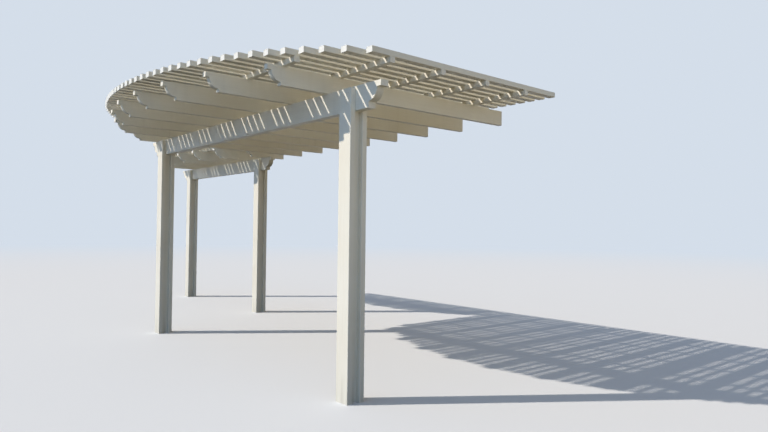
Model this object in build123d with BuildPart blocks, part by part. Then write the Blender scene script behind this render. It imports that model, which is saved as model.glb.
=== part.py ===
"""Pergola with two bowed fronts: posts, headers, rafters, purlins and slats, in millimetres.

Distances along the headers are measured from the centre of the near front post towards the far side,
and distances across them from the centre line of the front header towards the rear header.
"""
import os
from math import sqrt

from build123d import *

os.makedirs("parts", exist_ok=True)

# Heights: the ground is at zero and each layer rests on the one below
header_underside = 2485.0
header_depth = 210.0
rafter_depth = 165.0
purlin_depth = 51.0
slat_depth = 51.0

# Thickness of the members and the small chamfer of their rolled corners
header_thickness = 76.0
rafter_thickness = 51.0
purlin_thickness = 51.0
slat_width = 76.0
corner_chamfer = 2.5

# Posts: a square core between two side plates that clasp the header and end just below its top
core_width = 76.0
plate_width = 165.0
plate_thickness = 51.0
plate_setdown = 20.0
front_post_spacing = 4335.0
rear_post_spacing = 2970.0
rear_post_offset = 1105.0

# Headers: parallel, with both ends running on past the posts
header_spacing = 2090.0
header_overhang = 333.0

# Rafters: across both headers, with their tails on two bows, each a part of an ellipse
rafter_pitch = 610.0
first_rafter = 357.0
front_overhang = 1205.0
rear_overhang = 320.0
rear_bow_setback = 2375.0
bow_crown_radius = 4550.0
bow_end_reach = 276.0
tail_inset = 60.0

# Corbel cut at a tail: a nib on top, a step back, a quarter round and a lip below it
rafter_nib = 44.0
rafter_undercut = 38.0
rafter_lip = 29.0
header_nib = 48.0
header_undercut = 50.0
header_lip = 54.0

# Purlins: along the headers, on the rafters
first_purlin_setback = 713.0
purlin_pitch = 600.0
rear_purlin_setback = 370.0

# Slats: along the rafters, on the purlins
slat_pitch = 130.0
slat_field_overhang = 707.0
front_slat_groups = 6
rear_slat_groups = 4

# Levels that follow
header_top = header_underside + header_depth
rafter_top = header_top + rafter_depth
purlin_top = rafter_top + purlin_depth

# Places along the headers that follow
front_posts = [0.0, front_post_spacing]
rear_posts = [front_post_spacing + rear_post_offset]
rear_posts.append(rear_posts[0] + rear_post_spacing)
header_reach = plate_width / 2 + header_overhang
front_header_span = (front_posts[0] - header_reach, front_posts[1] + header_reach)
rear_header_span = (rear_posts[0] - header_reach, rear_posts[1] + header_reach)


def pitched(first, pitch, last):
    """Places from first to last at an even pitch."""
    places = []
    place = first
    while place <= last:
        places.append(place)
        place += pitch
    return places


def bow_over(slats, apex):
    """The bow of some slats: the middle, half length and half depth of its ellipse, and its apex."""
    half_length = (slats[-1] - slats[0]) / 2 + bow_end_reach
    return (slats[0] + slats[-1]) / 2, half_length, half_length**2 / bow_crown_radius, apex


def bow_edge(u, bow, inset):
    """How far out the curved outline reaches at a place along the headers."""
    middle, half_length, half_depth, apex = bow
    share = (u - middle) / (half_length - inset)
    return apex + half_depth - (half_depth - inset) * sqrt(1 - share**2)


half_rafter = rafter_thickness / 2
all_rafters = pitched(first_rafter, rafter_pitch, rear_header_span[1] - half_rafter)
front_rafters = [u for u in all_rafters if u + half_rafter <= front_header_span[1]]
rear_rafters = [u for u in all_rafters if u - half_rafter >= rear_header_span[0]]

# The slats change from the front bow to the rear one just before the first rear rafter
section_break = rear_rafters[0] - slat_pitch
rim_slat = front_rafters[0] - slat_field_overhang
all_slats = pitched(rim_slat, slat_pitch, rear_rafters[-1] + slat_field_overhang)
front_slats = [u for u in all_slats if u <= section_break]
rear_slats = [u for u in all_slats if u > section_break]

# Places across the headers that follow
rear_edge = header_spacing + rear_overhang
front_apex = -front_overhang
rear_apex = front_apex + rear_bow_setback
front_bow = bow_over(front_slats, front_apex)
rear_bow = bow_over(rear_slats, rear_apex)

# The origin lies on the ground under the middle of the whole outline
yard_end = min(bow_edge(u, front_bow, 0) for u in front_slats)
near_end = min(front_header_span[0], front_slats[0] - slat_width / 2)
far_end = max(rear_header_span[1], rear_slats[-1] + slat_width / 2)
middle_along = (near_end + far_end) / 2
middle_across = (yard_end + rear_edge) / 2


def along(u):
    """Row X of a place along the headers."""
    return middle_along - u


def across(v):
    """Row Y of a place across the headers."""
    return v - middle_across


def save(piece, name):
    """Labels a finished piece and writes it as a file of its own."""
    piece.part.label = name
    export_step(piece.part, f"parts/{name}.step")


def corbel_outline(length, depth, nib, undercut, lip):
    """Side view of a member with its corbel-cut tail at zero and a square end at its length."""
    quarter_round = depth - nib - lip
    setback = undercut + quarter_round
    under_nib = depth - nib
    with BuildLine() as outline:
        Polyline((length, depth), (0, depth), (0, under_nib), (undercut, under_nib))
        CenterArc((setback, under_nib), quarter_round, 180, 90)
        Polyline((setback, lip), (setback, 0), (length, 0), (length, depth))
    return outline.line.edges()


def make_post(u, v, name):
    """A post: its core up to the header, and two plates that rise past both sides of the header."""
    seat = header_thickness / 2 + plate_thickness / 2
    with BuildPart() as core:
        with BuildSketch(Plane.XY):
            with Locations((along(u), across(v))):
                Rectangle(core_width, header_thickness)
        extrude(amount=header_underside)
    save(core, f"{name}_core")
    for side, offset in (("yard", -seat), ("house", seat)):
        with BuildPart() as plate:
            with BuildSketch(Plane.XY):
                with Locations((along(u), across(v + offset))):
                    outline = Rectangle(plate_width, plate_thickness)
                chamfer(outline.vertices(), length=corner_chamfer)
            extrude(amount=header_top - plate_setdown)
        save(plate, f"{name}_{side}_plate")


def make_header(span, v, name):
    """A header with a corbel cut at both ends, drawn as one half and mirrored."""
    half_length = (span[1] - span[0]) / 2
    near_tip = Plane(
        origin=(along(span[0]), across(v), header_underside), x_dir=(-1, 0, 0), z_dir=(0, 1, 0)
    )
    with BuildPart() as header:
        with BuildSketch(near_tip):
            make_face(corbel_outline(half_length, header_depth, header_nib, header_undercut, header_lip))
        extrude(amount=header_thickness / 2, both=True)
        mirror(about=Plane.YZ.offset(along((span[0] + span[1]) / 2)))
        long_edges = header.edges().filter_by(Axis.X).sort_by(SortBy.LENGTH)[-4:]
        chamfer(long_edges, length=corner_chamfer)
    save(header, name)


def make_rafter(u, bow, name):
    """A rafter from its tail on the bow to its square end at the rear."""
    tail = bow_edge(u, bow, tail_inset)
    side = Plane(origin=(along(u), across(tail), header_top), x_dir=(0, 1, 0), z_dir=(1, 0, 0))
    with BuildPart() as rafter:
        with BuildSketch(side):
            make_face(corbel_outline(rear_edge - tail, rafter_depth, rafter_nib, rafter_undercut, rafter_lip))
        extrude(amount=rafter_thickness / 2, both=True)
        long_edges = rafter.edges().filter_by(Axis.Y).sort_by(SortBy.LENGTH)[-4:]
        chamfer(long_edges, length=corner_chamfer)
    save(rafter, name)


def make_purlin(start, end, v, name):
    """A purlin between two places along the headers."""
    with BuildPart() as purlin:
        with BuildSketch(Plane.YZ.offset(along(end))):
            with Locations((across(v), rafter_top + purlin_depth / 2)):
                outline = Rectangle(purlin_thickness, purlin_depth)
            chamfer(outline.vertices(), length=corner_chamfer)
        extrude(amount=end - start)
    save(purlin, name)


def make_slats(places, bow, name):
    """Some neighbouring slats, each from the bow to the rear edge."""
    with BuildPart() as slats:
        for u in places:
            with BuildSketch(Plane.XZ.offset(-across(rear_edge))):
                with Locations((along(u), purlin_top + slat_depth / 2)):
                    outline = Rectangle(slat_width, slat_depth)
                chamfer(outline.vertices(), length=corner_chamfer)
            extrude(amount=rear_edge - bow_edge(u, bow, 0))
    save(slats, name)


def carried_slats(slats, bow, v):
    """The slats long enough to rest on a purlin."""
    purlin_face = v - purlin_thickness / 2
    return [u for u in slats if bow_edge(u, bow, 0) <= purlin_face]


def purlin_span(slats, bow, v):
    """The stretch of a purlin, from the outer face of the first slat that it carries to the last."""
    carried = carried_slats(slats, bow, v)
    return carried[0] - slat_width / 2, carried[-1] + slat_width / 2


def in_groups(items, count):
    """Splits a list into a number of runs of about the same length."""
    return [items[k * len(items) // count : (k + 1) * len(items) // count] for k in range(count)]


# Posts and headers
for name, u in zip(("front_near_post", "front_far_post"), front_posts):
    make_post(u, 0.0, name)
for name, u in zip(("rear_near_post", "rear_far_post"), rear_posts):
    make_post(u, header_spacing, name)
make_header(front_header_span, 0.0, "front_header")
make_header(rear_header_span, header_spacing, "rear_header")

# Rafters
for number, u in enumerate(front_rafters, start=1):
    make_rafter(u, front_bow, f"front_rafter_{number}")
for number, u in enumerate(rear_rafters, start=1):
    make_rafter(u, rear_bow, f"rear_rafter_{number}")

# Purlins: the last line runs under both sections and is spliced on the first rear rafter
purlin_lines = pitched(front_apex + first_purlin_setback, purlin_pitch, rear_edge - purlin_thickness)
for number, v in enumerate(purlin_lines[:-1], start=1):
    make_purlin(*purlin_span(front_slats, front_bow, v), v, f"front_purlin_{number}")
last_line = purlin_lines[-1]
splice = rear_rafters[0]
make_purlin(purlin_span(front_slats, front_bow, last_line)[0], splice, last_line, "long_purlin_near")
make_purlin(splice, purlin_span(rear_slats, rear_bow, last_line)[1], last_line, "long_purlin_far")
rear_line = rear_apex + rear_purlin_setback
make_purlin(*purlin_span(rear_slats, rear_bow, rear_line), rear_line, "rear_purlin")

# Slats
for number, places in enumerate(in_groups(front_slats, front_slat_groups), start=1):
    make_slats(places, front_bow, f"front_slats_{number}")
for number, places in enumerate(in_groups(rear_slats, rear_slat_groups), start=1):
    make_slats(places, rear_bow, f"rear_slats_{number}")
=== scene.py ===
# %% [markdown]
# A pergola with two bowed fronts, in painted aluminium. The members, posts, headers, rafters, purlins
# and slats, come from the CAD model at their real size and stay where they are. This lesson gives them
# their finish, and adds the small things that a fitter brings in a box: end caps, bent trims on the
# corbel cuts, and screws. All lengths are in metres, +X runs along the headers to their near ends, +Y
# across them to the back, and +Z is up.

# %% Load the frame
from math import radians

import bmesh
import bpy
from mathutils import Euler, Matrix, Vector


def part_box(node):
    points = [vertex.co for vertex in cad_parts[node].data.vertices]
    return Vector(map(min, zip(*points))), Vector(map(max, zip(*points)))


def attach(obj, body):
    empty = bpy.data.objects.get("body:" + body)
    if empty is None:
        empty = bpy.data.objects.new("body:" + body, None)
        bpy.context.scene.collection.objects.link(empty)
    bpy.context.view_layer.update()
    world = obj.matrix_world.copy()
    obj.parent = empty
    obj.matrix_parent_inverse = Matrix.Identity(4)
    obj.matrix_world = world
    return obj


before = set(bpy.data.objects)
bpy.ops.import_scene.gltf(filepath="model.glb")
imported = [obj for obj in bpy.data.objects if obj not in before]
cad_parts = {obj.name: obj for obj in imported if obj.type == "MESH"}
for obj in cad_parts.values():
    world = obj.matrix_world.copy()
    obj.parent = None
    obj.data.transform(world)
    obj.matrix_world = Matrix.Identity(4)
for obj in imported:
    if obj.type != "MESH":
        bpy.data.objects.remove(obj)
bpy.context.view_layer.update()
print("nodes:", len(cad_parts))

# %% [markdown]
# A helper that asks the frame for groups of nodes saves typing later. Each slat node holds several
# slats that don't touch, so its box says little about one slat. Seen from its end, a slat with its
# chamfered corners has its points at four places along X. So the places of a node, sorted and taken in
# fours, tell its slats apart.

# %% Find the members
places_in_a_slat = 4
place_decimals = 4
place_slack = 0.001


def nodes_named(*starts):
    """The names of the CAD nodes that start with one of these words, in order."""
    return [name for name in sorted(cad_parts) if name.startswith(starts)]


def corners_of(points):
    """The lowest and the highest corner of the box round some points."""
    low = Vector([min(point[axis] for point in points) for axis in range(3)])
    high = Vector([max(point[axis] for point in points) for axis in range(3)])
    return low, high


def slats_in(node):
    """The lowest and highest corner of each slat in a node."""
    points = [vertex.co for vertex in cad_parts[node].data.vertices]
    places = sorted({round(point.x, place_decimals) for point in points})
    firsts = places[::places_in_a_slat]
    lasts = places[places_in_a_slat - 1 :: places_in_a_slat]
    found = []
    for first, last in zip(firsts, lasts):
        inside = [point for point in points if first - place_slack < point.x < last + place_slack]
        found.append(corners_of(inside))
    return found


slats = [corners for node in nodes_named("front_slats", "rear_slats") for corners in slats_in(node)]
rafters = {name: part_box(name) for name in nodes_named("front_rafter", "rear_rafter")}
purlins = {name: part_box(name) for name in nodes_named("front_purlin", "rear_purlin", "long_purlin")}
headers = {name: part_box(name) for name in ("front_header", "rear_header")}
plates = {name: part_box(name) for name in sorted(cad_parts) if name.endswith("_plate")}
cores = {name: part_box(name) for name in sorted(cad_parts) if name.endswith("_core")}
print("slats:", len(slats), "rafters:", len(rafters), "purlins:", len(purlins), "side plates:", len(plates))

# %% [markdown]
# The camera stands at eye height, in front of the pergola and beyond its near end, and looks along the
# headers. Its place and turn were worked out once from known points of the object, on the posts, the
# headers, the tails of the rafters and the tips of the slats, so the picture has the same perspective.
# The lens is a wide one. There is no shift and no depth of field.

# %% Camera
camera_place = Vector((8.4455, -3.7798, 1.4822))
camera_turn_left = 49.85
camera_pitch_up = 1.199
camera_roll = 0.628
camera_lens_mm = 28.606
camera_sensor_mm = 36.0
camera_sees_to = 300.0
level_pitch = 90.0

camera_data = bpy.data.cameras.new("camera")
camera_data.lens = camera_lens_mm
camera_data.sensor_width = camera_sensor_mm
camera_data.clip_end = camera_sees_to
camera = bpy.data.objects.new("camera", camera_data)
bpy.context.scene.collection.objects.link(camera)
level_turn = Euler((radians(level_pitch + camera_pitch_up), 0, radians(camera_turn_left)), "XYZ")
roll = Matrix.Rotation(radians(camera_roll), 4, "Z")
camera.matrix_world = Matrix.Translation(camera_place) @ level_turn.to_matrix().to_4x4() @ roll
bpy.context.scene.camera = camera
print("camera at", [round(value, 2) for value in camera.location], "lens", camera_lens_mm)

# %% [markdown]
# Floor, light and paint are all recipes of nodes. Each node could be added and linked in lines of its
# own, but then a recipe is long and hard to read. So one helper adds a node, sets its values and links
# its sockets in a single call, and another starts a material with an empty tree. The first material to
# be started is the floor's.

# %% Helpers for nodes
def node_maker(tree):
    """A short way to add nodes and links to a node tree."""

    def add(kind, inputs=None, **settings):
        node = tree.nodes.new(kind)
        for name, value in settings.items():
            setattr(node, name, value)
        for name, value in (inputs or {}).items():
            socket = node.inputs[name]
            if isinstance(value, bpy.types.NodeSocket):
                tree.links.new(value, socket)
            else:
                socket.default_value = value
        return node

    return add


def empty_material(name):
    """A material with an empty node tree, and the helper that fills it."""
    material = bpy.data.materials.new(name)
    material.use_nodes = True
    material.node_tree.nodes.clear()
    return material, node_maker(material.node_tree)


floor_material, add = empty_material("pale_floor")
print("started:", floor_material.name, "with", len(floor_material.node_tree.nodes), "nodes")

# %% [markdown]
# The floor is a large pale disc. Near the object it is a plain matt surface that takes the shadow, and
# far out it fades into the colour of the backdrop, so that no hard horizon shows in any view. The fade
# reads the disc's own coordinates, not the camera's. The Light Path node keeps the fade, and the floor's
# pale colour, to what the camera or a gloss sees. Light that bounces off the floor meets a darker matt
# surface, because a very white floor would light the undersides of the slats too much. That surface is
# darkest under the object and warmer and lighter far out, so the bounce comes from low down: it reaches
# the sides of the rafters better than their undersides.

# %% Floor material
backdrop_colour = (0.66, 0.73, 0.82, 1)
backdrop_strength = 1.0
floor_colour = (0.72, 0.735, 0.75, 1)
near_bounce = (0.010, 0.010, 0.008, 1)
far_bounce = (0.280, 0.240, 0.157, 1)
bounce_start = 4.5
bounce_end = 9.5
fade_start = 9.0
fade_end = 46.0


def calculated(add, operation, first, second):
    """The result of an operation, such as MULTIPLY or MAXIMUM, on two values."""
    return add("ShaderNodeMath", {0: first, 1: second}, operation=operation).outputs[0]


def ranged(add, value, low, high, to_low=0.0, to_high=1.0, **settings):
    """Takes a value that goes from low to high to one that goes from to_low to to_high."""
    ends = {"Value": value, "From Min": low, "From Max": high, "To Min": to_low, "To Max": to_high}
    return add("ShaderNodeMapRange", ends, **settings).outputs["Result"]


def mixed(add, share, first, second):
    """Goes from the first colour to the second as the share goes from zero to one."""
    colours = {"Factor": share, "A": first, "B": second}
    return add("ShaderNodeMix", colours, data_type="RGBA").outputs["Result"]


def shows_to_the_eye(add):
    """One for camera, gloss and transmission rays, zero for the rays that carry light."""
    rays = add("ShaderNodeLightPath").outputs
    direct = calculated(add, "MAXIMUM", rays["Is Camera Ray"], rays["Is Glossy Ray"])
    return calculated(add, "MAXIMUM", direct, rays["Is Transmission Ray"])


place = add("ShaderNodeTexCoord").outputs["Object"]
distance = add("ShaderNodeVectorMath", {0: place}, operation="LENGTH").outputs["Value"]
seen = shows_to_the_eye(add)
far_out = ranged(add, distance, bounce_start, bounce_end, interpolation_type="SMOOTHSTEP")
bounce = mixed(add, far_out, near_bounce, far_bounce)
matt = add("ShaderNodeBsdfDiffuse", {"Color": mixed(add, seen, bounce, floor_colour)})
horizon = add("ShaderNodeEmission", {"Color": backdrop_colour, "Strength": backdrop_strength})
fade = ranged(add, distance, fade_start, fade_end, interpolation_type="SMOOTHSTEP")
seen_fade = calculated(add, "MULTIPLY", fade, seen)
faded = add("ShaderNodeMixShader", {0: seen_fade, 1: matt.outputs[0], 2: horizon.outputs[0]})
add("ShaderNodeOutputMaterial", {"Surface": faded.outputs[0]})
print("floor material:", len(floor_material.node_tree.nodes), "nodes")

# %% [markdown]
# A square plane would do for the floor as well. A filled circle is used because it ends at the same
# distance on every side, as the fade does.

# %% Floor disc
floor_radius = 70.0
floor_sides = 96

floor_shape = bmesh.new()
bmesh.ops.create_circle(floor_shape, cap_ends=True, radius=floor_radius, segments=floor_sides)
floor_mesh = bpy.data.meshes.new("floor")
floor_shape.to_mesh(floor_mesh)
floor_shape.free()
floor = bpy.data.objects.new("floor", floor_mesh)
floor_mesh.materials.append(floor_material)
bpy.context.scene.collection.objects.link(floor)
print("floor disc", 2 * floor_radius, "m across")

# %% [markdown]
# The light is a plain studio one. The key light is one far lamp, high at the front and towards the far
# end, so that the front faces are bright, the near ends of the posts lie in shade and light falls in
# streaks between the slats. A near lamp would make those streaks fan out, and a far one keeps them
# parallel. Its small angle makes their edges a little soft.

# %% Key lamp
key_travels = Vector((0.75, 1.09, -1.0))
key_strength = 3.70
key_colour = (1.0, 0.915, 0.81)
key_softness = 0.8

key_data = bpy.data.lights.new("key", "SUN")
key_data.energy = key_strength
key_data.angle = radians(key_softness)
key_data.color = key_colour
key = bpy.data.objects.new("key", key_data)
key.rotation_euler = key_travels.to_track_quat("-Z", "Y").to_euler()
bpy.context.scene.collection.objects.link(key)
print("key lamp", key_strength, "and", key_softness, "degrees wide")

# %% [markdown]
# A low warm reflector beyond the near end shines up under the slats, so that the sides of the rafters
# glow a little. A brighter floor would do the same, but it would light the undersides as much. The
# reflector shows neither to the camera nor in a gloss.

# %% Low reflector
panel_place = Vector((9.5, 1.5, 0.9))
panel_aim = Vector((1.5, 0.3, 2.85))
panel_size = (3.0, 1.0)
panel_spread = 45.0
panel_power = 2.4
panel_colour = (1.0, 0.90, 0.70)

panel_data = bpy.data.lights.new("panel", "AREA")
panel_data.shape = "RECTANGLE"
panel_data.size, panel_data.size_y = panel_size
panel_data.energy = panel_power
panel_data.spread = radians(panel_spread)
panel_data.color = panel_colour
panel = bpy.data.objects.new("panel", panel_data)
panel.location = panel_place
panel.rotation_euler = (panel_aim - panel_place).to_track_quat("-Z", "Y").to_euler()
panel.visible_camera = False
panel.visible_glossy = False
bpy.context.scene.collection.objects.link(panel)
print("panel", panel_power, "W")

# %% [markdown]
# The world fills the shadows. One even colour would make every shaded face look alike, so a cool light
# comes from the front and a warmer one from the back, and both are strongest near the horizon. The
# camera, gloss and glass see the backdrop's colour in place of the fill.

# %% Fill from all round
cool_fill = (0.43, 0.66, 1.02, 1)
warm_fill = (0.41, 0.335, 0.235, 1)
cool_side = Vector((0.0, -1.0, 0.0))
warm_below = -0.5
cool_above = 0.5
horizon_fill = 1.06
zenith_fill = 0.62
horizon_height = 0.0
zenith_height = 0.8


def upward_part(add, vector):
    """How far a vector goes up."""
    return add("ShaderNodeSeparateXYZ", {"Vector": vector}).outputs["Z"]


world = bpy.data.worlds.new("studio")
world.use_nodes = True
world.node_tree.nodes.clear()
bpy.context.scene.world = world
add = node_maker(world.node_tree)
direction = add("ShaderNodeTexCoord").outputs["Generated"]
towards_cool = {0: direction, 1: cool_side.normalized()}
coolness = add("ShaderNodeVectorMath", towards_cool, operation="DOT_PRODUCT").outputs["Value"]
fill_colour = mixed(add, ranged(add, coolness, warm_below, cool_above), warm_fill, cool_fill)
height = upward_part(add, direction)
fill_strength = ranged(add, height, horizon_height, zenith_height, horizon_fill, zenith_fill)
fill = add("ShaderNodeBackground", {"Color": fill_colour, "Strength": fill_strength})
backdrop = add("ShaderNodeBackground", {"Color": backdrop_colour, "Strength": backdrop_strength})
seen = shows_to_the_eye(add)
surroundings = add("ShaderNodeMixShader", {0: seen, 1: fill.outputs[0], 2: backdrop.outputs[0]})
add("ShaderNodeOutputWorld", {"Surface": surroundings.outputs[0]})
bpy.context.scene.view_settings.view_transform = "Standard"
print("fill", horizon_fill, "at the horizon and", zenith_fill, "from above")

# %% [markdown]
# The members are roll-formed from painted aluminium that was embossed with a fine wood grain before it
# was folded. The grain therefore always runs along the member. A few summers do more to such paint: a
# slight mottling, dust on the faces that look up, faint runs, a splash of soil on the feet of the posts,
# and a skin that is never quite flat. Each of these is a pattern with a scale of its own. How it shows is
# said in four numbers: the pattern's values where it starts and where it is full, and its share of the
# colour at the one and at the other.

# %% Colours and patterns of the embossed paint
cream = (0.880, 0.850, 0.740, 1)
warm_cream = (0.840, 0.795, 0.670, 1)
grain_shade = (0.680, 0.630, 0.515, 1)
dust = (0.560, 0.520, 0.420, 1)
soil = (0.330, 0.300, 0.200, 1)

grain_across = 230.0
grain_along = 5.0
grain_detail = 3.0
figure_across = 34.0
figure_along = 1.1
figure_detail = 2.0
wood_waver = 0.4
run_scales = (22.0, 22.0, 0.9)
run_detail = 5.0
mottle_scale = 1.7
mottle_detail = 4.0
skin_scale = 4.5
skin_detail = 1.0

warming = (0.35, 0.70, 0.0, 1.0)
grain_darkening = (0.60, 0.34, 0.0, 0.16)
figure_darkening = (0.56, 0.72, 0.0, 0.10)
run_dusting = (0.56, 0.78, 0.0, 0.12)
top_dusting = (0.30, 0.62, 0.12, 0.38)
foot_soiling = (0.38, 0.66, 0.04, 0.40)
grain_roughness = (0.3, 0.7, 0.56, 0.40)
level_enough = (0.55, 0.95)
splash_height = 0.28

skin_bump = {"Strength": 0.35, "Distance": 0.0035}
figure_bump = {"Strength": 0.30, "Distance": 0.0008}
grain_bump = {"Strength": 0.45, "Distance": 0.0004}
print("a grain line is about", round(1 / grain_across, 4), "m wide and", 1 / grain_along, "m long")

# %% [markdown]
# A picture of wood grain could be wrapped round each member, but it would repeat and need a layout for
# every face. A noise that is squeezed across the member and stretched along it has no seams and fits
# every length. One recipe makes the paint, and is told along which axis the member lies.

# %% The embossed paint
def noise(add, place, scale, detail, waver=0.0):
    """A noise pattern, finer where its scale is larger."""
    inputs = {"Vector": place, "Scale": scale, "Detail": detail, "Distortion": waver}
    return add("ShaderNodeTexNoise", inputs).outputs["Fac"]


def stretched_noise(add, place, scales, detail, waver=0.0):
    """A noise pattern with a scale of its own along each axis."""
    squeezed = add("ShaderNodeMapping", {"Vector": place, "Scale": scales}).outputs[0]
    return noise(add, squeezed, 1.0, detail, waver)


def member_scales(axis, across, lengthwise):
    """One scale across a member, and another along its axis."""
    scales = [across] * 3
    scales[axis] = lengthwise
    return scales


def end_recipe(add, colour, roughness, normal):
    """Adds the paint's shader and the material's output."""
    surface = {"Base Color": colour, "Roughness": roughness, "Normal": normal}
    paint = add("ShaderNodeBsdfPrincipled", surface)
    add("ShaderNodeOutputMaterial", {"Surface": paint.outputs[0]})


def embossed_paint(name, axis, splash=0.0):
    """Cream paint with its grain along X (0), Y (1) or Z (2), and with soil up to the splash height."""
    material, add = empty_material(name)
    place = add("ShaderNodeTexCoord").outputs["Object"]
    normal = add("ShaderNodeNewGeometry").outputs["Normal"]
    grain_scales = member_scales(axis, grain_across, grain_along)
    figure_scales = member_scales(axis, figure_across, figure_along)
    grain = stretched_noise(add, place, grain_scales, grain_detail, wood_waver)
    figure = stretched_noise(add, place, figure_scales, figure_detail, wood_waver)
    runs = stretched_noise(add, place, run_scales, run_detail)
    mottle = noise(add, place, mottle_scale, mottle_detail)
    skin = noise(add, place, skin_scale, skin_detail)

    colour = mixed(add, ranged(add, mottle, *warming), cream, warm_cream)
    colour = mixed(add, ranged(add, grain, *grain_darkening), colour, grain_shade)
    colour = mixed(add, ranged(add, figure, *figure_darkening), colour, grain_shade)
    colour = mixed(add, ranged(add, runs, *run_dusting), colour, dust)
    looks_up = ranged(add, upward_part(add, normal), *level_enough)
    settled = calculated(add, "MULTIPLY", looks_up, ranged(add, mottle, *top_dusting))
    colour = mixed(add, settled, colour, dust)
    if splash:
        low_down = ranged(add, upward_part(add, place), splash, 0.0)
        splashed = calculated(add, "MULTIPLY", low_down, ranged(add, runs, *foot_soiling))
        colour = mixed(add, splashed, colour, soil)

    uneven = add("ShaderNodeBump", {**skin_bump, "Height": skin}).outputs[0]
    raised = add("ShaderNodeBump", {**figure_bump, "Height": figure, "Normal": uneven}).outputs[0]
    emboss = add("ShaderNodeBump", {**grain_bump, "Height": grain, "Normal": raised}).outputs[0]
    end_recipe(add, colour, ranged(add, grain, *grain_roughness), emboss)
    return material


paint_along_x = embossed_paint("embossed_cream_along_x", 0)
paint_along_y = embossed_paint("embossed_cream_along_y", 1)
paint_along_z = embossed_paint("embossed_cream_along_z", 2, splash_height)
for name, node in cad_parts.items():
    if name in cores or name in plates:
        finish = paint_along_z
    elif name in headers or name in purlins:
        finish = paint_along_x
    else:
        finish = paint_along_y
    node.data.materials.clear()
    node.data.materials.append(finish)
print("painted members:", len(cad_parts))

# %% [markdown]
# The small parts come next. Most of them repeat, so each kind is modelled once as a small template at
# the origin. Faces that turn only a little into each other are shaded smooth, so that a bend of a few
# flat steps looks round. Flat faces stay flat, and their edges sharp. A template looks up or to the
# front, and a few named turns make its copies face the other ways.

# %% Templates
quarter_turn = radians(90)
flat_below = radians(1)
sharp_from = radians(35)
weld_distance = 1e-6
facing = {
    "up": Matrix.Identity(4),
    "front": Matrix.Rotation(quarter_turn, 4, "X"),
    "back": Matrix.Rotation(-quarter_turn, 4, "X"),
    "near": Matrix.Rotation(quarter_turn, 4, "Y"),
    "far": Matrix.Rotation(-quarter_turn, 4, "Y"),
}


def shade_bends_smooth(shape):
    """Shades the faces of a gentle bend smooth, and marks the edges of a hard one sharp."""
    for edge in shape.edges:
        turn = edge.calc_face_angle(0.0)
        edge.smooth = turn < sharp_from
        if flat_below < turn < sharp_from:
            for face in edge.link_faces:
                face.smooth = True


def as_template(name, shape):
    """Keeps a small shape as a mesh to be stamped, with its faces turned outwards."""
    bmesh.ops.remove_doubles(shape, verts=shape.verts, dist=weld_distance)
    bmesh.ops.recalc_face_normals(shape, faces=shape.faces)
    shade_bends_smooth(shape)
    template = bpy.data.meshes.new(name)
    shape.to_mesh(template)
    shape.free()
    return template


print("turns for a template that looks up:", ", ".join(facing))

# %% [markdown]
# Copies of a template are stamped into one joined mesh where the frame says. Hundreds of objects would
# do as well, but one mesh is quicker and is a single piece of the part. It rides with the frame and
# names the slot for its finish. Its open edges are counted, because a small part should be a closed
# form. The first helpers read the middle and the size of a member from its two corners.


def middle_of(low, high):
    """The point half way between two corners."""
    return (low + high) / 2


def size_of(low, high):
    """Length, width and height between two corners."""
    return high - low


def stamped_piece(name, template, finish, placings):
    """Makes one piece of a template's copies, each with its place and turn, and prints what it holds."""
    shape = bmesh.new()
    for place, turn in placings:
        copy = template.copy()
        copy.transform(Matrix.Translation(place) @ turn)
        shape.from_mesh(copy)
        bpy.data.meshes.remove(copy)
    open_edges = sum(edge.is_boundary for edge in shape.edges)
    mesh = bpy.data.meshes.new(name)
    shape.to_mesh(mesh)
    shape.free()
    mesh.materials.append(finish)
    piece = bpy.data.objects.new(name, mesh)
    bpy.context.scene.collection.objects.link(piece)
    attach(piece, "root")
    print(name + ":", len(placings), "copies,", len(mesh.polygons), "faces,", open_edges, "open edges")


slat_size = size_of(*slats[0])
purlin_size = size_of(*purlins["rear_purlin"])
rafter_size = size_of(*rafters["front_rafter_1"])
header_size = size_of(*headers["front_header"])
plate_size = size_of(*plates["front_near_post_yard_plate"])
print("a slat is", round(slat_size.x, 4), "m wide and", round(slat_size.z, 4), "m thick")

# %% [markdown]
# Caps and trims are smooth parts without the embossed grain. Their paint could be the embossed recipe
# with its grain left out, but a short recipe of its own is easier to follow. It has a cream close to
# that of the members, with a finer skin: a soft orange-peel bump, a little dust on what looks up, and
# patches where it is rubbed. The same recipe makes the fasteners, with more wear.

# %% The smooth paints
bright_cream = (0.860, 0.855, 0.800, 1)
rubbed_grey = (0.520, 0.500, 0.440, 1)
bare_zinc = (0.420, 0.415, 0.400, 1)
patch_scale = 38.0
patch_detail = 4.0
patch_wears = (0.48, 0.74)
patch_dulls = (0.3, 0.7)
dulled_by = 0.14
small_part_dusting = (0.6, 1.0, 0.0, 0.25)
peel_scale = 420.0
peel_detail = 2.0
peel_bump = {"Strength": 0.25, "Distance": 0.0004}


def smooth_paint(name, colour, worn, wear, roughness):
    """Plain paint with an orange-peel skin, faint wear and a little dust."""
    material, add = empty_material(name)
    place = add("ShaderNodeTexCoord").outputs["Object"]
    normal = add("ShaderNodeNewGeometry").outputs["Normal"]
    patches = noise(add, place, patch_scale, patch_detail)
    rubbed = mixed(add, ranged(add, patches, *patch_wears, 0.0, wear), colour, worn)
    settled = ranged(add, upward_part(add, normal), *small_part_dusting)
    dusty = mixed(add, settled, rubbed, dust)
    peel = noise(add, place, peel_scale, peel_detail)
    skin = add("ShaderNodeBump", {**peel_bump, "Height": peel}).outputs[0]
    dulled = ranged(add, patches, *patch_dulls, roughness, roughness + dulled_by)
    end_recipe(add, dusty, dulled, skin)
    return material


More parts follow.
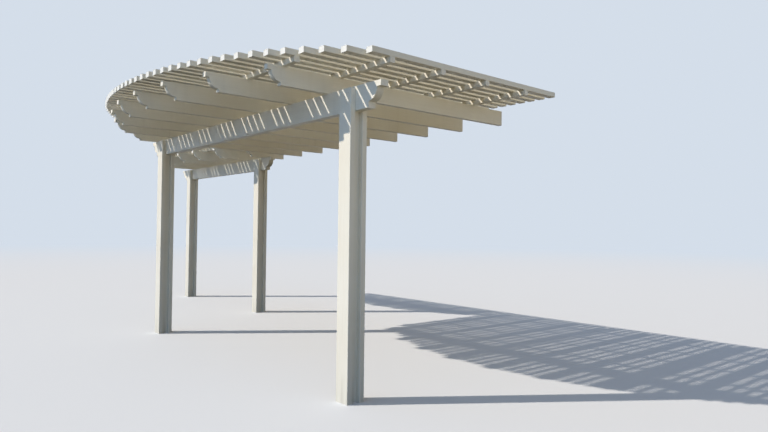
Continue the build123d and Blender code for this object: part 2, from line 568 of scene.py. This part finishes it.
cap_paint = smooth_paint("smooth_cap_paint", bright_cream, grain_shade, wear=0.35, roughness=0.42)
trim_paint = smooth_paint("bent_trim_paint", cream, rubbed_grey, wear=0.30, roughness=0.62)
fastener_paint = smooth_paint("fastener_paint", warm_cream, bare_zinc, wear=0.75, roughness=0.45)
print("smooth paints:", cap_paint.name, trim_paint.name, fastener_paint.name)

# %% [markdown]
# Every hollow member is closed with a pressed cap. A cap could be cut from a cube, but starting from a
# flat grid keeps it simple: its corners are rounded with a vertex bevel, the face is extruded to the
# cap's thickness, and two insets make the rim and the sunk panel. One function makes a cap of any size,
# so it serves slats, purlins, rafters and the tops of the side plates. The slats come first, with a cap
# on both ends.

# %% End caps
cap_thickness = 0.0022
cap_margin = 0.0004
cap_corner = 0.0050
cap_corner_steps = 3
cap_rim = 0.0030
cap_slope = 0.0012
cap_sink = 0.0010


def of_kind(made, kind):
    """The parts of one kind, such as vertices, among those that an operator made."""
    return [part for part in made if isinstance(part, kind)]


def end_cap(name, width, height):
    """A cap that looks up: a plate with rounded corners, a rim and a sunk panel."""
    shape = bmesh.new()
    bmesh.ops.create_grid(shape, x_segments=1, y_segments=1, size=0.5)
    bmesh.ops.scale(shape, vec=(width + 2 * cap_margin, height + 2 * cap_margin, 1), verts=shape.verts)
    bmesh.ops.bevel(
        shape,
        geom=shape.verts[:],
        offset=cap_corner,
        segments=cap_corner_steps,
        profile=0.5,
        affect="VERTICES",
        material=-1,
    )
    raised = bmesh.ops.extrude_face_region(shape, geom=shape.faces[:])["geom"]
    bmesh.ops.translate(shape, vec=(0, 0, cap_thickness), verts=of_kind(raised, bmesh.types.BMVert))
    panel = of_kind(raised, bmesh.types.BMFace)
    bmesh.ops.inset_region(shape, faces=panel, thickness=cap_rim, use_even_offset=True)
    bmesh.ops.inset_region(shape, faces=panel, thickness=cap_slope, depth=-cap_sink, use_even_offset=True)
    return as_template(name, shape)


slat_cap = end_cap("slat_cap", slat_size.x, slat_size.z)
placings = []
for low, high in slats:
    centre = middle_of(low, high)
    placings.append(((centre.x, low.y, centre.z), facing["front"]))
    placings.append(((centre.x, high.y, centre.z), facing["back"]))
stamped_piece("slat_end_caps", slat_cap, cap_paint, placings)

# %% [markdown]
# The purlins are capped at their own ends, the rafters only at the back, where they are cut square.
# The long purlin is spliced, so its two halves have no cap where they meet. The tops of the side plates
# are closed as well, which shows only from above.

# %% Caps on purlins, rafters and side plates
purlin_cap = end_cap("purlin_cap", purlin_size.z, purlin_size.y)
spliced_x = purlins["long_purlin_near"][0].x
placings = []
for low, high in purlins.values():
    centre = middle_of(low, high)
    for x, side in ((low.x, "far"), (high.x, "near")):
        if abs(x - spliced_x) > cap_thickness:
            placings.append(((x, centre.y, centre.z), facing[side]))
stamped_piece("purlin_end_caps", purlin_cap, trim_paint, placings)

rafter_cap = end_cap("rafter_cap", rafter_size.x, rafter_size.z)
placings = []
for low, high in rafters.values():
    centre = middle_of(low, high)
    placings.append(((centre.x, high.y, centre.z), facing["back"]))
stamped_piece("rafter_end_caps", rafter_cap, trim_paint, placings)

plate_cap = end_cap("plate_cap", plate_size.x, plate_size.y)
placings = []
for low, high in plates.values():
    centre = middle_of(low, high)
    placings.append(((centre.x, centre.y, high.z), facing["up"]))
stamped_piece("plate_top_caps", plate_cap, trim_paint, placings)

# %% [markdown]
# The tails of the rafters and both ends of the headers are cut to a corbel: a nib on top, a step back,
# a quarter round and a lip. On the real members a bent strip closes that cut. A strip could be a row of
# quads worked out by hand, but a bmesh draws it: one vertex is extruded along the cut, spun through the
# quarter round and extruded again, and then the whole line is extruded across the member. Its two side
# edges are pushed inwards along their normals, which makes the small flanges that lie on the sides, and
# solidify gives the sheet its thickness.

# %% A bent strip for a corbel cut
trim_thickness = 0.0012
trim_play = 0.0002
trim_flange = 0.0035
round_steps = 8


def drawn_on(shape, vertex, step):
    """Extrudes a vertex by a step, which draws an edge, and returns the new vertex."""
    drawn = bmesh.ops.extrude_vert_indiv(shape, verts=[vertex])["verts"][0]
    bmesh.ops.translate(shape, vec=step, verts=[drawn])
    return drawn


def place_of(vertex):
    """A vertex's place, fixed so that it can be looked up."""
    return vertex.co.copy().freeze()


def draw_cut(shape, start, nib, undercut, quarter_round, lip):
    """Draws the line of a corbel cut from its top down."""
    under_nib = drawn_on(shape, start, (0, 0, -nib))
    step = drawn_on(shape, under_nib, (0, undercut, 0))
    centre = step.co + Vector((0, quarter_round, 0))
    bent = bmesh.ops.spin(
        shape, geom=[step], cent=centre, axis=(1, 0, 0), angle=quarter_turn, steps=round_steps
    )["geom_last"]
    drawn_on(shape, of_kind(bent, bmesh.types.BMVert)[0], (0, 0, -lip))
    bmesh.ops.remove_doubles(shape, verts=shape.verts, dist=weld_distance)


def fold_flanges(shape):
    """Folds the two side edges of a strip inwards."""
    inwards = {place_of(vertex): vertex.normal * -vertex.calc_shell_factor() for vertex in shape.verts}
    rim = [edge for edge in shape.edges if edge.is_boundary]
    side_edges = [edge for edge in rim if edge.verts[0].co.x == edge.verts[1].co.x]
    flanges = bmesh.ops.extrude_edge_only(shape, edges=side_edges)["geom"]
    for vertex in of_kind(flanges, bmesh.types.BMVert):
        bmesh.ops.translate(shape, vec=inwards[place_of(vertex)] * trim_flange, verts=[vertex])


def corbel_trim(name, width, depth, nib, undercut, lip):
    """A bent strip for a corbel cut that points along -Y, with the member's lower edge at zero."""
    half = width / 2 + trim_play
    shape = bmesh.new()
    start = shape.verts.new((-half, 0, depth))
    draw_cut(shape, start, nib, undercut, depth - nib - lip, lip)
    crossed = bmesh.ops.extrude_edge_only(shape, edges=shape.edges[:])["geom"]
    bmesh.ops.translate(shape, vec=(2 * half, 0, 0), verts=of_kind(crossed, bmesh.types.BMVert))
    bmesh.ops.recalc_face_normals(shape, faces=shape.faces)
    nib_face = next(face for face in shape.faces if face.calc_center_median().y < weld_distance)
    if nib_face.normal.y > 0:
        bmesh.ops.reverse_faces(shape, faces=shape.faces)
    shape.normal_update()
    fold_flanges(shape)
    bmesh.ops.solidify(shape, geom=shape.faces[:], thickness=-trim_thickness)
    return as_template(name, shape)


rafter_trim = corbel_trim("rafter_trim", rafter_size.x, rafter_size.z, nib=0.044, undercut=0.038, lip=0.029)
header_trim = corbel_trim("header_trim", header_size.y, header_size.z, nib=0.048, undercut=0.050, lip=0.054)
print("faces of a rafter's trim:", len(rafter_trim.polygons), "and a header's:", len(header_trim.polygons))

# %% [markdown]
# Every tail gets its trim. A rafter has its tail at the front, as the template has. A header has a tail
# at both ends, so its copies are turned about the upright axis.

# %% Corbel trims
placings = []
for low, high in rafters.values():
    placings.append(((middle_of(low, high).x, low.y, low.z), facing["up"]))
stamped_piece("rafter_corbel_trims", rafter_trim, trim_paint, placings)

placings = []
for low, high in headers.values():
    across = middle_of(low, high).y
    for x, turn in ((high.x, quarter_turn), (low.x, -quarter_turn)):
        placings.append(((x, across, low.z), Matrix.Rotation(turn, 4, "Z")))
stamped_piece("header_corbel_trims", header_trim, trim_paint, placings)

# %% [markdown]
# Painted washer-head screws hold it all together. Each one is two short cones, a round flange and a
# six-sided head that stands in it, with few faces, because there are hundreds. The bottom of the flange
# is sunk a little into the member, so that no gap shows under it. Two screws, set across from each other,
# hold each slat on each purlin that it crosses.

# %% Screws in the slats
flange_radii = (0.0070, 0.0062)
flange_height = 0.0012
flange_sides = 12
head_radii = (0.0048, 0.0045)
head_height = 0.0030
head_sides = 6
screw_sink = 0.0002
slat_screw_apart = 0.036
slat_screw_stagger = 0.020
both_sides = (-0.5, 0.5)


def washer_head_screw(name):
    """A screw that looks up, with its flange sunk a little below zero."""
    shape = bmesh.new()
    for (foot, top), height, sides, sink in (
        (flange_radii, flange_height, flange_sides, screw_sink),
        (head_radii, head_height, head_sides, 0.0),
    ):
        raised = Matrix.Translation((0, 0, height / 2 - sink))
        bmesh.ops.create_cone(
            shape, cap_ends=True, segments=sides, radius1=foot, radius2=top, depth=height, matrix=raised
        )
    return as_template(name, shape)


screw = washer_head_screw("screw")
placings = []
for slat_low, slat_high in slats:
    x = middle_of(slat_low, slat_high).x
    for purlin_low, purlin_high in purlins.values():
        if slat_low.y <= purlin_low.y and purlin_low.x < x < purlin_high.x:
            y = middle_of(purlin_low, purlin_high).y
            for side in both_sides:
                place = (x + side * slat_screw_apart, y + side * slat_screw_stagger, slat_high.z)
                placings.append((place, facing["up"]))
stamped_piece("slat_screws", screw, fastener_paint, placings)

# %% [markdown]
# The other screws are in upright faces. Four go through each side plate into the header that it clasps.
# Where a rafter crosses a header, one goes through its foot on each side. The long purlin is joined over
# the first rear rafter by a sleeve inside it, so only the sleeve's screws show, two in each half on each
# side.

# %% Screws in the frame
plate_screw_across = 0.090
plate_screw_heights = (0.055, 0.150)
foot_screw_height = 0.016
sleeve_screw_places = (0.030, 0.085)

header_base = headers["front_header"][0].z
placings = []
for name, (low, high) in plates.items():
    x = middle_of(low, high).x
    face, y = ("front", low.y) if "yard" in name else ("back", high.y)
    for side in both_sides:
        for height in plate_screw_heights:
            place = (x + side * plate_screw_across, y, header_base + height)
            placings.append((place, facing[face]))
stamped_piece("side_plate_screws", screw, fastener_paint, placings)

placings = []
for rafter_low, rafter_high in rafters.values():
    for header_low, header_high in headers.values():
        within = header_low.x < rafter_low.x and rafter_high.x < header_high.x
        if within and rafter_low.y < header_low.y:
            y = middle_of(header_low, header_high).y
            z = rafter_low.z + foot_screw_height
            placings.append(((rafter_high.x, y, z), facing["near"]))
            placings.append(((rafter_low.x, y, z), facing["far"]))
stamped_piece("rafter_foot_screws", screw, fastener_paint, placings)

splice_low, splice_high = purlins["long_purlin_near"]
splice_z = middle_of(splice_low, splice_high).z
placings = []
for step in sleeve_screw_places:
    for half in (-step, step):
        for face, y in (("front", splice_low.y), ("back", splice_high.y)):
            placings.append(((spliced_x + half, y, splice_z), facing[face]))
stamped_piece("splice_screws", screw, fastener_paint, placings)
